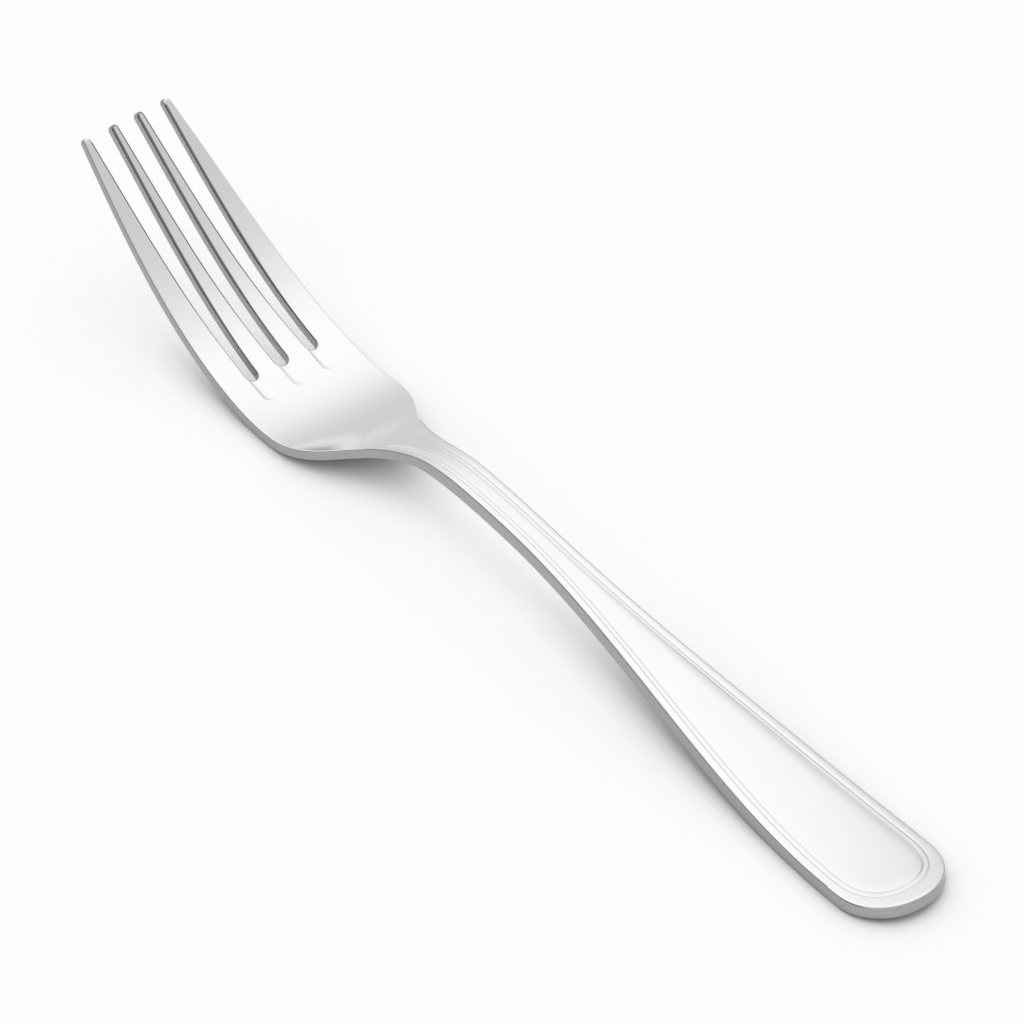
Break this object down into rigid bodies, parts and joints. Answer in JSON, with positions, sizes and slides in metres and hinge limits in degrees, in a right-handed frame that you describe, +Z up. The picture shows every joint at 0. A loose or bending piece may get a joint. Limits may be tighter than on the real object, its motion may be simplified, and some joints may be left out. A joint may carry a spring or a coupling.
{
  "type": "dinner fork",
  "caption": "Polished stainless steel dinner fork with tapering tines, a slim neck and a beaded border round its handle, for lifting and holding food.",
  "frame": {"origin": "centre of the fork's length and width, on the table that it rests on", "axes": "+X along the fork from the handle towards the tips of the tines, +Y across the fork, +Z up from the table, on the side that the tines curve up to"},
  "size_m": [0.205, 0.0248, 0.0291],
  "materials": {
    "polished_steel": "polished stainless steel, with satin cut edges"
  },
  "bodies": {
    "root": {"fork": "polished_steel"}
  },
  "joints": []
}
